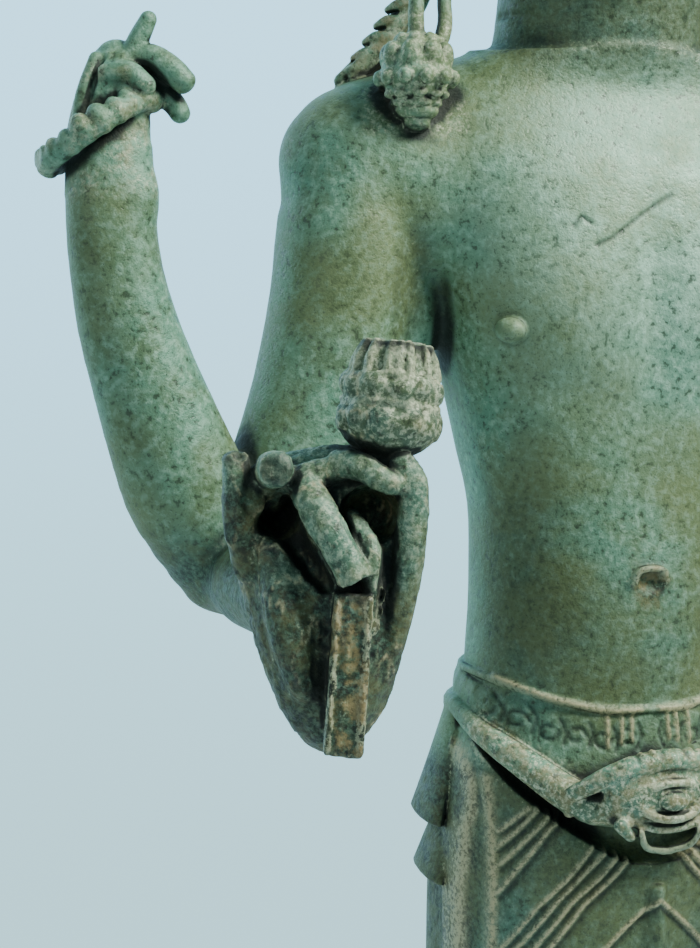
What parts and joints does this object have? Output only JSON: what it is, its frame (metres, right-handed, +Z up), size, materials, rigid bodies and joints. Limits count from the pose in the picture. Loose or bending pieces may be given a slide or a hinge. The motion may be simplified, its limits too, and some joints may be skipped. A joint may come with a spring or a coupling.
{
  "type": "guanyin statue",
  "caption": "Standing many-armed bodhisattva figure in patinated bronze on a low oval base, with lotus bud, rosary, book and flask in its hands.",
  "frame": {"origin": "centre of the flat underside of the low base", "axes": "+Z up along the figure's height, -Y the way the figure faces, -X the figure's own right side"},
  "size_m": [0.2232, 0.1504, 0.52],
  "materials": {
    "patinated_bronze": "old bronze with a mottled green patina, dark in the hollows and pale on the high places"
  },
  "bodies": {
    "root": {"figure": "patinated_bronze"}
  },
  "joints": []
}
